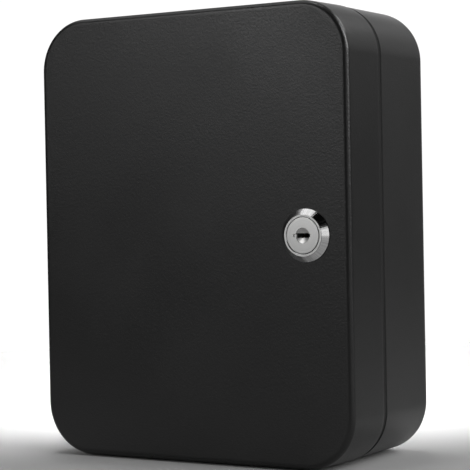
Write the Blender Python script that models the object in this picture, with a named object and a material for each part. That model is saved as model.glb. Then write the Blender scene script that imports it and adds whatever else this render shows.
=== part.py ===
# Wall key cabinet: a pressed steel body and a deep pressed steel door, hinged on the left,
# with a cam lock on the right and hook rails for keys in both halves.
# Metres. +X is to the right, +Y points into the wall and +Z is up.
# The origin is the middle of the face that lies on the wall, and the door is closed.
import math

import bmesh
import bpy
from mathutils import Vector

MM = 0.001

# The closed cabinet, without the head of its lock
CABINET_WIDTH = 160 * MM
CABINET_HEIGHT = 200 * MM
CABINET_DEPTH = 77 * MM
CORNER_RADIUS = 23.3 * MM
SHEET = 1.0 * MM             # steel sheet of the body and the door

# Gaps between pieces
SEAT_GAP = 0.1 * MM          # a flat piece and what it lies on
FIT_GAP = 0.3 * MM           # a piece and the hole or notch that it sits in
OVERRUN = 2 * MM             # how far a cut runs past the face that it starts from

# Door tray
DOOR_DEPTH = 30.5 * MM
DOOR_DRAFT = 0.5 * MM        # the walls lean in by this much towards the front
DOOR_EDGE_RADIUS = 3.0 * MM
SEAM = 0.5 * MM              # between the door and the body

# Body tray
BODY_INSET = 0.3 * MM        # the body is this much smaller than the door all round
BACK_EDGE_RADIUS = 6.5 * MM
SHOULDER_RADIUS = 0.8 * MM   # bend where the walls step in under the door
STEP_RADIUS = 0.5 * MM       # bend from that step into the lip
LIP_HEIGHT = 5 * MM          # how far the lip and the rim on it reach into the door
RIM_WIDTH = 8 * MM           # flat rim welded on the lip, which the lock's cam hooks behind
RIM_EDGE_RADIUS = 0.8 * MM
WALL_HOLE_RADIUS = 3.25 * MM
WALL_HOLE_FROM_SIDE = 35 * MM
WALL_HOLE_FROM_END = 15 * MM  # from the cabinet's top or bottom

# Hinges
HINGE_LENGTH = 40 * MM
HINGE_FROM_END = 50 * MM     # middle of a hinge to the cabinet's top or bottom
LEAF_THICKNESS = 0.9 * MM
LEAF_WIDTH = 12 * MM         # from the pin's axis to the leaf's free edge
KNUCKLE_RADIUS = 2.75 * MM
PIN_HEAD_HEIGHT = 0.8 * MM
PIN_HEAD_OVERLAP = 0.6 * MM  # how far the pin's heads stand out round its shank

# Hook rails
RAIL_FROM_SIDE = 25 * MM     # ends of the body's rails to the cabinet's sides
RAIL_FROM_WASHER = 8 * MM    # ends of the door's rails to the lock's washer
RAIL_HEIGHT = 16 * MM
RAIL_THICKNESS = 1.0 * MM
HOOK_COUNT = 5
HOOK_WIDTH = 5 * MM
HOOK_BEND_RADIUS = 2.0 * MM  # at the middle of the sheet
HOOK_REACH = 10 * MM         # from the rail to the turned-up tip
HOOK_TIP = 6 * MM            # height of the tip above the hook's floor
UPPER_HOOKS_FROM_TOP = 38 * MM  # floor of the upper hooks below the cabinet's top
HOOK_ROW_SPACING = 75 * MM   # lets keys hang from the upper hooks
NUMBER_STRIP_HEIGHT = 9 * MM
NUMBER_STRIP_THICKNESS = 0.5 * MM
NUMBER_STRIP_MARGIN = 1.5 * MM

# Lock housing and what holds it in the door
LOCK_FROM_EDGE = 21.4 * MM   # lock axis to the door's right edge
LOCK_LEVEL = 0 * MM          # lock axis above the middle of the door
HEAD_RADIUS = 11.3 * MM
HEAD_TOP_RADIUS = 8.95 * MM
HEAD_HEIGHT = 3.0 * MM
HEAD_RIM_HEIGHT = 0.4 * MM
HEAD_LIP_HEIGHT = 0.35 * MM  # raised lip round the core, above the cone
BARREL_RADIUS = 9.4 * MM
BARREL_FLAT = 8.0 * MM       # lock axis to the barrel's two flats
BARREL_LENGTH = 25 * MM
WASHER_RADIUS = 12.6 * MM
WASHER_THICKNESS = 0.8 * MM
NUT_ACROSS_FLATS = 24 * MM
NUT_THICKNESS = 4.5 * MM
NUT_CHAMFER = 0.8 * MM

# Lock core
FACE_RADIUS = 7.7 * MM
FACE_THICKNESS = 1.4 * MM
FACE_CHAMFER = 0.2 * MM
FACE_GROOVE = 0.25 * MM      # round gap between the core's face and the head's lip
CORE_RADIUS = 6.3 * MM
TAIL_RADIUS = 4.9 * MM
TAIL_FLAT = 3.7 * MM         # lock axis to the tail's four flats
KEYHOLE_RADIUS = 3.3 * MM
KEYHOLE_DEPTH = 1.0 * MM
KEY_SLOT_WIDTH = 6.4 * MM
KEY_SLOT_HEIGHT = 2.0 * MM
KEY_SLOT_DEPTH = 22 * MM
KEY_NOTCH_WIDTH = 9.2 * MM   # shallow notch for the key's shoulders
KEY_NOTCH_HEIGHT = 0.9 * MM
KEY_NOTCH_DEPTH = 0.6 * MM
SHUTTER_THICKNESS = 0.3 * MM
WAFER_COUNT = 5
WAFER_PITCH = 3.2 * MM
WAFER_FIRST = 7 * MM         # first wafer behind the core's face
WAFER_THICKNESS = 0.8 * MM
WAFER_WIDTH = 8.6 * MM
WAFER_WINDOW_HEIGHT = 3.2 * MM

# Cam and its screw
CAM_THICKNESS = 2.0 * MM
CAM_WIDTH = 11 * MM
CAM_REACH = 17 * MM          # lock axis to the cam's tip
CAM_CRANK_START = 6.3 * MM   # where the crank starts and ends along the cam
CAM_CRANK_END = 8.3 * MM
CAM_TIP_TAPER = 1.5 * MM     # the cam narrows by this much on each side at its tip
STRIKE_CLEARANCE = 0.9 * MM  # between the cam's tip and the back of the rim
SCREW_RADIUS = 2.0 * MM
SCREW_LENGTH = 6 * MM
SCREW_HEAD_RADIUS = 4.2 * MM
SCREW_HEAD_HEIGHT = 2.0 * MM
SCREW_SLOT_WIDTH = 1.1 * MM
SCREW_SLOT_DEPTH = 1.0 * MM
SPRING_WASHER_RADIUS = 4.0 * MM
SPRING_WASHER_THICKNESS = 0.7 * MM

# How finely round shapes are drawn
CORNER_STEPS = 10
BEND_STEPS = 4
SMALL_BEND_STEPS = 2
ROUND_STEPS = 36
SMALL_ROUND_STEPS = 16

# Places that follow from the sizes above
DOOR_FRONT = -CABINET_DEPTH
DOOR_BACK = DOOR_FRONT + DOOR_DEPTH
BODY_FRONT = DOOR_BACK + SEAM
LIP_FRONT = BODY_FRONT - LIP_HEIGHT
LIP_INSET = BODY_INSET + SHOULDER_RADIUS + STEP_RADIUS
RIM_BACK = LIP_FRONT + SHEET
LEAF_OUTER_X = -(CABINET_WIDTH / 2 - max(BODY_INSET, DOOR_DRAFT) - SHEET - SEAT_GAP)
HINGE_AXIS = Vector((LEAF_OUTER_X + LEAF_THICKNESS - KNUCKLE_RADIUS, DOOR_BACK + SEAM / 2, 0))
LOCK_AXIS = Vector((CABINET_WIDTH / 2 - LOCK_FROM_EDGE, DOOR_FRONT, LOCK_LEVEL))
RAIL_LENGTH = CABINET_WIDTH - 2 * RAIL_FROM_SIDE
HOOK_PITCH = RAIL_LENGTH / HOOK_COUNT
UPPER_HOOK_LEVEL = CABINET_HEIGHT / 2 - UPPER_HOOKS_FROM_TOP
LOWER_HOOK_LEVEL = UPPER_HOOK_LEVEL - HOOK_ROW_SPACING
DOOR_RAIL_X = LOCK_AXIS.x - WASHER_RADIUS - RAIL_FROM_WASHER - RAIL_LENGTH / 2
PIN_RADIUS = KNUCKLE_RADIUS - LEAF_THICKNESS - FIT_GAP
NOTCH_RADIUS = KNUCKLE_RADIUS + FIT_GAP
FACE_Y = -SEAT_GAP - HEAD_HEIGHT               # lock places count from the door's front
BORE_RADIUS = CORE_RADIUS + FIT_GAP
FACE_BORE_RADIUS = FACE_RADIUS + FACE_GROOVE
CORE_START_Y = FACE_Y + FACE_THICKNESS
CAM_START_Y = BARREL_LENGTH + FIT_GAP
CAM_END_Y = CAM_START_Y + CAM_THICKNESS
CAM_CRANK = RIM_BACK + STRIKE_CLEARANCE - (DOOR_FRONT + CAM_START_Y)


# Scene and materials


def clear_scene():
    for old in list(bpy.data.objects):
        bpy.data.objects.remove(old, do_unlink=True)


def make_material(name, colour, roughness, metallic):
    material = bpy.data.materials.new(name)
    material.use_nodes = True
    shader = material.node_tree.nodes["Principled BSDF"]
    shader.inputs["Base Color"].default_value = (*colour, 1)
    shader.inputs["Roughness"].default_value = roughness
    shader.inputs["Metallic"].default_value = metallic
    material.diffuse_color = (*colour, 1)
    return material


def black_powder_coat():
    return make_material("black_powder_coat", (0.022, 0.022, 0.022), 0.5, 0.0)


def zinc_plate():
    return make_material("zinc_plate", (0.62, 0.63, 0.65), 0.35, 1.0)


def polished_chrome():
    return make_material("polished_chrome", (0.68, 0.68, 0.68), 0.08, 1.0)


def satin_nickel():
    return make_material("satin_nickel", (0.56, 0.55, 0.53), 0.28, 1.0)


def wafer_brass():
    return make_material("wafer_brass", (0.62, 0.47, 0.20), 0.30, 1.0)


def spring_steel():
    return make_material("spring_steel", (0.30, 0.30, 0.31), 0.35, 1.0)


def white_strip_plastic():
    return make_material("white_strip_plastic", (0.80, 0.80, 0.78), 0.45, 0.0)


# Mesh helpers


def finish_object(name, mesh_data, material, location=(0, 0, 0), parent=None, parent_place=(0, 0, 0)):
    # location is a place in the world, and parent_place is where the parent stands there
    bmesh.ops.recalc_face_normals(mesh_data, faces=mesh_data.faces)
    mesh = bpy.data.meshes.new(name)
    mesh_data.to_mesh(mesh)
    mesh_data.free()
    mesh.shade_smooth()
    mesh.set_sharp_from_angle(angle=math.radians(30))
    mesh.materials.append(material)
    obj = bpy.data.objects.new(name, mesh)
    bpy.context.scene.collection.objects.link(obj)
    obj.parent = parent
    obj.location = Vector(location) - Vector(parent_place)
    return obj


def add_pivot(name, location, parent=None, parent_place=(0, 0, 0)):
    pivot = bpy.data.objects.new(name, None)
    bpy.context.scene.collection.objects.link(pivot)
    pivot.parent = parent
    pivot.location = Vector(location) - Vector(parent_place)
    return pivot


def loft(mesh_data, outlines, closed=False):
    # joins outlines with equal numbers of points, and caps both ends unless the loft is closed
    rings = [[mesh_data.verts.new(point) for point in outline] for outline in outlines]
    pairs = list(zip(rings, rings[1:]))
    if closed:
        pairs.append((rings[-1], rings[0]))
    for first, second in pairs:
        for here in range(len(first)):
            after = (here + 1) % len(first)
            mesh_data.faces.new((first[here], first[after], second[after], second[here]))
    if not closed:
        mesh_data.faces.new(rings[0])
        mesh_data.faces.new(rings[-1])


def arc(centre, radius, start, end, steps):
    points = []
    for step in range(steps + 1):
        angle = math.radians(start + (end - start) * step / steps)
        points.append((centre[0] + radius * math.cos(angle), centre[1] + radius * math.sin(angle)))
    return points


def tray_outline(inset, y):
    # rounded rectangle of the cabinet's front view, moved in by inset
    centre_x = CABINET_WIDTH / 2 - CORNER_RADIUS
    centre_z = CABINET_HEIGHT / 2 - CORNER_RADIUS
    radius = CORNER_RADIUS - inset
    outline = []
    for turn, (side_x, side_z) in enumerate(((1, 1), (-1, 1), (-1, -1), (1, -1))):
        corner = arc((side_x * centre_x, side_z * centre_z), radius, 90 * turn, 90 * turn + 90, CORNER_STEPS)
        outline += [Vector((x, y, z)) for x, z in corner]
    return outline


def round_outline(radius, y, flat_x=None, flat_z=None, steps=ROUND_STEPS):
    # circle about the Y axis, cut by flats at the given distances
    outline = []
    for step in range(steps):
        angle = 2 * math.pi * step / steps
        across, up = math.cos(angle), math.sin(angle)
        reach = radius
        if flat_x is not None and abs(across) * reach > flat_x:
            reach = flat_x / abs(across)
        if flat_z is not None and abs(up) * reach > flat_z:
            reach = flat_z / abs(up)
        outline.append(Vector((reach * across, y, reach * up)))
    return outline


def hexagon_outline(across_flats, y, steps=ROUND_STEPS):
    outline = []
    for step in range(steps):
        angle = 2 * math.pi * step / steps
        from_flat = math.remainder(angle, math.pi / 3)
        reach = across_flats / 2 / math.cos(from_flat)
        outline.append(Vector((reach * math.cos(angle), y, reach * math.sin(angle))))
    return outline


def add_block(mesh_data, low, high):
    corners = [(low[0], low[2]), (high[0], low[2]), (high[0], high[2]), (low[0], high[2])]
    loft(mesh_data, [[Vector((x, y, z)) for x, z in corners] for y in (low[1], high[1])])


def cut(obj, name, mesh_data):
    # takes a closed shape out of obj; the shape is drawn in obj's own coordinates
    bmesh.ops.recalc_face_normals(mesh_data, faces=mesh_data.faces)
    mesh = bpy.data.meshes.new(name)
    mesh_data.to_mesh(mesh)
    mesh_data.free()
    cutter = bpy.data.objects.new(name, mesh)
    bpy.context.scene.collection.objects.link(cutter)
    cutter.parent = obj
    cutter.hide_render = True
    cutter.display_type = "WIRE"
    modifier = obj.modifiers.new(name, "BOOLEAN")
    modifier.operation = "DIFFERENCE"
    modifier.solver = "EXACT"
    modifier.object = cutter


def bent_sheet(mesh_data, path, thickness, stations, is_filled, to_point):
    # Sheet that follows path, a line of (u, v) points along the middle of its thickness.
    # It is divided across its width at the stations, and only the filled cells are made.
    normals = []
    for here, (u, v) in enumerate(path):
        before = Vector(path[max(here - 1, 0)])
        after = Vector(path[min(here + 1, len(path) - 1)])
        into = (Vector((u, v)) - before) if here else (after - Vector((u, v)))
        out = (after - Vector((u, v))) if here < len(path) - 1 else into
        middle = into.normalized() + out.normalized()
        middle.normalize()
        lean = middle.dot(out.normalized())
        normals.append(Vector((-middle.y, middle.x)) / lean)
    verts = {}

    def vert(row, column, side):
        key = (row, column, side)
        if key not in verts:
            place = Vector(path[row]) + normals[row] * side * thickness / 2
            verts[key] = mesh_data.verts.new(to_point(place.x, place.y, stations[column]))
        return verts[key]

    def filled(row, column):
        inside = 0 <= row < len(path) - 1 and 0 <= column < len(stations) - 1
        return inside and is_filled(row, column)

    for row in range(len(path) - 1):
        for column in range(len(stations) - 1):
            if not filled(row, column):
                continue
            cell = [(row, column), (row + 1, column), (row + 1, column + 1), (row, column + 1)]
            for side in (-1, 1):
                mesh_data.faces.new([vert(r, c, side) for r, c in cell])
            neighbours = [(row, column - 1), (row + 1, column), (row, column + 1), (row - 1, column)]
            for edge, neighbour in enumerate(neighbours):
                if not filled(*neighbour):
                    start, end = cell[edge], cell[(edge + 1) % len(cell)]
                    mesh_data.faces.new([vert(*start, -1), vert(*end, -1), vert(*end, 1), vert(*start, 1)])


# Body and door trays


def hinge_levels():
    level = CABINET_HEIGHT / 2 - HINGE_FROM_END
    return (level, -level)


def hinge_notches(front, back):
    # blocks that clear the knuckles, pins and leaves where the walls meet
    mesh_data = bmesh.new()
    half = HINGE_LENGTH / 2 + PIN_HEAD_HEIGHT + 2 * FIT_GAP
    for level in hinge_levels():
        low = (HINGE_AXIS.x - NOTCH_RADIUS, front, level - half)
        high = (HINGE_AXIS.x + NOTCH_RADIUS, back, level + half)
        add_block(mesh_data, low, high)
    return mesh_data


def make_body_shell(material):
    # The profile runs from the middle of the back, round the outside to the lip and back inside.
    # Its points are (inset from the door's outline, y).
    back_centre = (BODY_INSET + BACK_EDGE_RADIUS, -BACK_EDGE_RADIUS)
    shoulder_centre = (BODY_INSET + SHOULDER_RADIUS, BODY_FRONT + SHOULDER_RADIUS)
    step_centre = (BODY_INSET + SHOULDER_RADIUS, BODY_FRONT - STEP_RADIUS)
    lip_end = RIM_BACK + SEAT_GAP
    inner_step = STEP_RADIUS + SHEET
    inner_step_end = math.degrees(math.acos((SHEET - SHOULDER_RADIUS) / inner_step))
    profile = arc(back_centre, BACK_EDGE_RADIUS, 90, 180, BEND_STEPS)
    profile += arc(shoulder_centre, SHOULDER_RADIUS, 180, 270, SMALL_BEND_STEPS)
    profile += arc(step_centre, STEP_RADIUS, 90, 0, SMALL_BEND_STEPS)[1:]
    profile += [(LIP_INSET, lip_end), (LIP_INSET + SHEET, lip_end)]
    profile += arc(step_centre, inner_step, 0, inner_step_end, SMALL_BEND_STEPS)
    profile += arc(back_centre, BACK_EDGE_RADIUS - SHEET, 180, 90, BEND_STEPS)
    mesh_data = bmesh.new()
    loft(mesh_data, [tray_outline(inset, y) for inset, y in profile])
    shell = finish_object("body_shell", mesh_data, material)

    holes = bmesh.new()
    hole_x = CABINET_WIDTH / 2 - WALL_HOLE_FROM_SIDE
    hole_z = CABINET_HEIGHT / 2 - WALL_HOLE_FROM_END
    for side_x in (-1, 1):
        for side_z in (-1, 1):
            middle = Vector((side_x * hole_x, 0, side_z * hole_z))
            ends = (-SHEET - OVERRUN, OVERRUN)
            outlines = [round_outline(WALL_HOLE_RADIUS, y, steps=SMALL_ROUND_STEPS) for y in ends]
            loft(holes, [[point + middle for point in outline] for outline in outlines])
    cut(shell, "wall_hole_cuts", holes)
    cut(shell, "body_notch_cuts", hinge_notches(LIP_FRONT - OVERRUN, HINGE_AXIS.y + NOTCH_RADIUS))


def make_body_rim(material):
    edge_centre = (LIP_INSET + RIM_EDGE_RADIUS, LIP_FRONT + RIM_EDGE_RADIUS)
    profile = arc(edge_centre, RIM_EDGE_RADIUS, 180, 270, SMALL_BEND_STEPS)
    profile += [(LIP_INSET + RIM_WIDTH, LIP_FRONT), (LIP_INSET + RIM_WIDTH, RIM_BACK), (LIP_INSET, RIM_BACK)]
    mesh_data = bmesh.new()
    loft(mesh_data, [tray_outline(inset, y) for inset, y in profile], closed=True)
    rim = finish_object("body_rim", mesh_data, material)
    cut(rim, "rim_notch_cuts", hinge_notches(LIP_FRONT - OVERRUN, RIM_BACK + OVERRUN))


def make_door_shell(material, pivot):
    edge_centre = (DOOR_DRAFT + DOOR_EDGE_RADIUS, DOOR_FRONT + DOOR_EDGE_RADIUS)
    profile = arc(edge_centre, DOOR_EDGE_RADIUS, 270, 180, BEND_STEPS)
    profile += [(0, DOOR_BACK), (SHEET, DOOR_BACK)]
    profile += arc(edge_centre, DOOR_EDGE_RADIUS - SHEET, 180, 270, BEND_STEPS)
    mesh_data = bmesh.new()
    loft(mesh_data, [tray_outline(inset, y) for inset, y in profile])
    shell = finish_object("door_shell", mesh_data, material, (0, 0, 0), pivot, HINGE_AXIS)

    hole = bmesh.new()
    ends = (-OVERRUN, SHEET + OVERRUN)
    outlines = [round_outline(BARREL_RADIUS + FIT_GAP, y, flat_x=BARREL_FLAT + FIT_GAP) for y in ends]
    loft(hole, [[point + LOCK_AXIS for point in outline] for outline in outlines])
    cut(shell, "lock_hole_cut", hole)
    cut(shell, "door_notch_cuts", hinge_notches(HINGE_AXIS.y - NOTCH_RADIUS, DOOR_BACK + OVERRUN))


# Hinges


def make_leaf(name, material, level, direction, knuckles, pivot, pivot_place):
    # The leaf lies along the wall and curls round the pin.
    # direction is 1 for the leaf in the body and -1 for the one in the door.
    middle = KNUCKLE_RADIUS - LEAF_THICKNESS / 2
    curl_end_share = 0.86     # share of a full turn that the knuckle curls
    path = [(middle, LEAF_WIDTH), (middle, NOTCH_RADIUS), (middle, 0)]
    path += arc((0, 0), middle, 0, -360 * curl_end_share, SMALL_ROUND_STEPS)[1:]
    third = HINGE_LENGTH / 3
    edges = {
        "outer": [-HINGE_LENGTH / 2, -third / 2 - FIT_GAP / 2, third / 2 + FIT_GAP / 2, HINGE_LENGTH / 2],
        "middle": [-HINGE_LENGTH / 2, -third / 2 + FIT_GAP / 2, third / 2 - FIT_GAP / 2, HINGE_LENGTH / 2],
    }[knuckles]
    knuckle_columns = {"outer": (0, 2), "middle": (1,)}[knuckles]

    def is_filled(row, column):
        return row == 0 or column in knuckle_columns

    mesh_data = bmesh.new()
    bent_sheet(mesh_data, path, LEAF_THICKNESS, edges, is_filled,
               lambda u, v, w: Vector((u, direction * v, w)))
    place = HINGE_AXIS + Vector((0, 0, level))
    finish_object(name, mesh_data, material, place, pivot, pivot_place)


def make_hinge_pin(name, material, level):
    half = HINGE_LENGTH / 2 + SEAT_GAP
    head = PIN_RADIUS + PIN_HEAD_OVERLAP
    profile = [(PIN_RADIUS, -half - PIN_HEAD_HEIGHT), (head, -half - PIN_HEAD_HEIGHT / 2), (head, -half),
               (PIN_RADIUS, -half), (PIN_RADIUS, half), (head, half), (head, half + PIN_HEAD_HEIGHT / 2),
               (PIN_RADIUS, half + PIN_HEAD_HEIGHT)]
    mesh_data = bmesh.new()
    outlines = []
    for radius, z in profile:
        circle = arc((0, 0), radius, 0, 360, SMALL_ROUND_STEPS)[:-1]
        outlines.append([Vector((x, y, z)) for x, y in circle])
    loft(mesh_data, outlines)
    finish_object(name, mesh_data, material, HINGE_AXIS + Vector((0, 0, level)))


def make_hinges(material, pivot):
    for word, level in zip(("upper", "lower"), hinge_levels()):
        make_leaf(f"hinge_body_leaf_{word}", material, level, 1, "outer", None, (0, 0, 0))
        make_leaf(f"hinge_door_leaf_{word}", material, level, -1, "middle", pivot, HINGE_AXIS)
        make_hinge_pin(f"hinge_pin_{word}", material, level)


# Hook rails and their number strips


def make_hook_rail(name, material, place, facing, pivot, pivot_place):
    # The path runs down the strip, forwards along the hook's floor and up its tip.
    # u is forwards and v is up from the floor of the hooks.
    # facing is -1 in the body, where the hooks point forwards, and 1 in the door.
    mid = RAIL_THICKNESS / 2
    bend = HOOK_BEND_RADIUS
    low_centre = (mid + bend, bend - mid)
    tip_centre = (RAIL_THICKNESS + HOOK_REACH + mid - bend, bend - mid)
    path = [(mid, RAIL_HEIGHT), (mid, bend - mid)]
    path += arc(low_centre, bend, 180, 270, BEND_STEPS)[1:]
    path += arc(tip_centre, bend, 270, 360, BEND_STEPS)
    path += [(RAIL_THICKNESS + HOOK_REACH + mid, HOOK_TIP)]
    stations = [-RAIL_LENGTH / 2]
    for hook in range(HOOK_COUNT):
        middle = (hook - (HOOK_COUNT - 1) / 2) * HOOK_PITCH
        stations += [middle - HOOK_WIDTH / 2, middle + HOOK_WIDTH / 2]
    stations.append(RAIL_LENGTH / 2)
    mesh_data = bmesh.new()
    bent_sheet(mesh_data, path, RAIL_THICKNESS, stations, lambda row, column: row == 0 or column % 2 == 1,
               lambda u, v, w: Vector((w, facing * u, v)))
    finish_object(name, mesh_data, material, place, pivot, pivot_place)


def make_number_strip(name, material, place, facing, pivot, pivot_place):
    top = RAIL_HEIGHT - NUMBER_STRIP_MARGIN
    back = facing * (RAIL_THICKNESS + SEAT_GAP)
    front = back + facing * NUMBER_STRIP_THICKNESS
    half = RAIL_LENGTH / 2 - NUMBER_STRIP_MARGIN
    mesh_data = bmesh.new()
    add_block(mesh_data, (-half, back, top - NUMBER_STRIP_HEIGHT), (half, front, top))
    finish_object(name, mesh_data, material, place, pivot, pivot_place)


def make_rails(rail_material, strip_material, pivot):
    body_y = -SHEET - SEAT_GAP
    door_y = DOOR_FRONT + SHEET + SEAT_GAP
    for word, level in (("upper", UPPER_HOOK_LEVEL), ("lower", LOWER_HOOK_LEVEL)):
        body_place = (0, body_y, level)
        make_hook_rail(f"body_hook_rail_{word}", rail_material, body_place, -1, None, (0, 0, 0))
        make_number_strip(f"body_number_strip_{word}", strip_material, body_place, -1, None, (0, 0, 0))
        door_place = (DOOR_RAIL_X, door_y, level)
        make_hook_rail(f"door_hook_rail_{word}", rail_material, door_place, 1, pivot, HINGE_AXIS)
        make_number_strip(f"door_number_strip_{word}", strip_material, door_place, 1, pivot, HINGE_AXIS)


# Lock housing, washer and nut, which stay with the door


def make_lock_housing(material, pivot):
    cone_top = FACE_Y + HEAD_LIP_HEIGHT
    outlines = [
        round_outline(FACE_BORE_RADIUS, FACE_Y),
        round_outline(HEAD_TOP_RADIUS, FACE_Y),
        round_outline(HEAD_TOP_RADIUS, cone_top),
        round_outline(HEAD_RADIUS, -SEAT_GAP - HEAD_RIM_HEIGHT),
        round_outline(HEAD_RADIUS, -SEAT_GAP),
        round_outline(BARREL_RADIUS, -SEAT_GAP, flat_x=BARREL_FLAT),
        round_outline(BARREL_RADIUS, BARREL_LENGTH, flat_x=BARREL_FLAT),
        round_outline(BORE_RADIUS, BARREL_LENGTH),
        round_outline(BORE_RADIUS, CORE_START_Y + FIT_GAP),
        round_outline(FACE_BORE_RADIUS, CORE_START_Y + FIT_GAP),
    ]
    mesh_data = bmesh.new()
    loft(mesh_data, outlines, closed=True)
    finish_object("lock_housing", mesh_data, material, LOCK_AXIS, pivot, HINGE_AXIS)


def make_lock_washer(material, pivot):
    start = SHEET + SEAT_GAP
    end = start + WASHER_THICKNESS
    inner = BARREL_RADIUS + FIT_GAP
    profile = [(inner, start), (WASHER_RADIUS, start), (WASHER_RADIUS, end), (inner, end)]
    mesh_data = bmesh.new()
    loft(mesh_data, [round_outline(radius, y) for radius, y in profile], closed=True)
    finish_object("lock_washer", mesh_data, material, LOCK_AXIS, pivot, HINGE_AXIS)


def make_lock_nut(material, pivot):
    start = SHEET + WASHER_THICKNESS + 2 * SEAT_GAP
    end = start + NUT_THICKNESS
    inner = BARREL_RADIUS + FIT_GAP
    outlines = [
        round_outline(inner, start),
        hexagon_outline(NUT_ACROSS_FLATS, start),
        hexagon_outline(NUT_ACROSS_FLATS, end - NUT_CHAMFER),
        round_outline(NUT_ACROSS_FLATS / 2 - NUT_CHAMFER / 2, end),
        round_outline(inner, end),
    ]
    mesh_data = bmesh.new()
    loft(mesh_data, outlines, closed=True)
    finish_object("lock_nut", mesh_data, material, LOCK_AXIS, pivot, HINGE_AXIS)


# Lock core and what turns with it


def wafer_places():
    return [FACE_Y + WAFER_FIRST + WAFER_PITCH * number for number in range(WAFER_COUNT)]


def make_lock_core(material, pivot):
    outlines = [
        round_outline(FACE_RADIUS - FACE_CHAMFER, FACE_Y),
        round_outline(FACE_RADIUS, FACE_Y + FACE_CHAMFER),
        round_outline(FACE_RADIUS, CORE_START_Y),
        round_outline(CORE_RADIUS, CORE_START_Y),
        round_outline(CORE_RADIUS, BARREL_LENGTH),
        round_outline(TAIL_RADIUS, BARREL_LENGTH, TAIL_FLAT, TAIL_FLAT),
        round_outline(TAIL_RADIUS, CAM_END_Y - SEAT_GAP, TAIL_FLAT, TAIL_FLAT),
    ]
    mesh_data = bmesh.new()
    loft(mesh_data, outlines)
    core = finish_object("lock_core", mesh_data, material, LOCK_AXIS, pivot, LOCK_AXIS)

    keyhole = bmesh.new()
    ends = (FACE_Y - OVERRUN, FACE_Y + KEYHOLE_DEPTH)
    loft(keyhole, [round_outline(KEYHOLE_RADIUS, y) for y in ends])
    cut(core, "keyhole_cut", keyhole)

    notch = bmesh.new()
    add_block(notch, (-KEY_NOTCH_WIDTH / 2, FACE_Y - OVERRUN, -KEY_NOTCH_HEIGHT / 2),
              (KEY_NOTCH_WIDTH / 2, FACE_Y + KEY_NOTCH_DEPTH, KEY_NOTCH_HEIGHT / 2))
    cut(core, "key_notch_cut", notch)

    slot = bmesh.new()
    add_block(slot, (-KEY_SLOT_WIDTH / 2, FACE_Y - OVERRUN, -KEY_SLOT_HEIGHT / 2),
              (KEY_SLOT_WIDTH / 2, FACE_Y + KEY_SLOT_DEPTH, KEY_SLOT_HEIGHT / 2))
    cut(core, "key_slot_cut", slot)

    slots = bmesh.new()
    half_x = WAFER_WIDTH / 2 + FIT_GAP
    half_y = WAFER_THICKNESS / 2 + FIT_GAP
    half_z = CORE_RADIUS + OVERRUN
    for y in wafer_places():
        add_block(slots, (-half_x, y - half_y, -half_z), (half_x, y + half_y, half_z))
    cut(core, "wafer_slot_cuts", slots)

    hole = bmesh.new()
    ends = (CAM_END_Y - SCREW_LENGTH, CAM_END_Y + OVERRUN)
    loft(hole, [round_outline(SCREW_RADIUS + FIT_GAP, y, steps=SMALL_ROUND_STEPS) for y in ends])
    cut(core, "screw_hole_cut", hole)


def make_wafers(material, pivot):
    for number, y in enumerate(wafer_places(), start=1):
        front, back = y - WAFER_THICKNESS / 2, y + WAFER_THICKNESS / 2
        outer = CORE_RADIUS - FIT_GAP
        window_x, window_z = KEY_SLOT_WIDTH / 2, WAFER_WINDOW_HEIGHT / 2
        reach = max(window_x, window_z) * 2
        outlines = [
            round_outline(outer, front, flat_x=WAFER_WIDTH / 2),
            round_outline(outer, back, flat_x=WAFER_WIDTH / 2),
            round_outline(reach, back, window_x, window_z),
            round_outline(reach, front, window_x, window_z),
        ]
        mesh_data = bmesh.new()
        loft(mesh_data, outlines, closed=True)
        finish_object(f"lock_wafer_{number}", mesh_data, material, LOCK_AXIS, pivot, LOCK_AXIS)


def make_shutter(name, material, side, pivot):
    # half of the dust shutter, above or below the key slot
    radius = KEYHOLE_RADIUS - FIT_GAP
    low = KEY_SLOT_HEIGHT / 2
    start = math.degrees(math.asin(low / radius))
    edge = arc((0, 0), radius, start, 180 - start, CORNER_STEPS)
    front = FACE_Y + KEYHOLE_DEPTH - SEAT_GAP - SHUTTER_THICKNESS
    mesh_data = bmesh.new()
    levels = (front, front + SHUTTER_THICKNESS)
    loft(mesh_data, [[Vector((x, y, side * z)) for x, z in edge] for y in levels])
    finish_object(name, mesh_data, material, LOCK_AXIS, pivot, LOCK_AXIS)


def make_cam(material, pivot):
    # The cam points down when the door is unlocked. Its tip is cranked to pass behind the rim.
    # Each row is half the cam's width, the distance below the lock's axis, and the crank.
    half = CAM_WIDTH / 2
    round_end = arc((0, 0), half, 90, 0, BEND_STEPS)[1:]
    rows = [(width, -above, 0) for width, above in round_end]
    rows += [(half, CAM_CRANK_START, 0), (half, CAM_CRANK_END, CAM_CRANK),
             (half - CAM_TIP_TAPER / 2, CAM_REACH - CAM_TIP_TAPER, CAM_CRANK),
             (half - CAM_TIP_TAPER, CAM_REACH, CAM_CRANK)]
    outlines = []
    for width, below, crank in rows:
        front = CAM_START_Y + crank
        back = front + CAM_THICKNESS
        outlines.append([Vector((-width, front, -below)), Vector((width, front, -below)),
                         Vector((width, back, -below)), Vector((-width, back, -below))])
    mesh_data = bmesh.new()
    loft(mesh_data, outlines)
    cam = finish_object("lock_cam", mesh_data, material, LOCK_AXIS, pivot, LOCK_AXIS)
    hole = bmesh.new()
    flat = TAIL_FLAT + FIT_GAP
    ends = (CAM_START_Y - OVERRUN, CAM_END_Y + OVERRUN)
    loft(hole, [round_outline(TAIL_RADIUS + FIT_GAP, y, flat, flat) for y in ends])
    cut(cam, "cam_hole_cut", hole)


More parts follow.
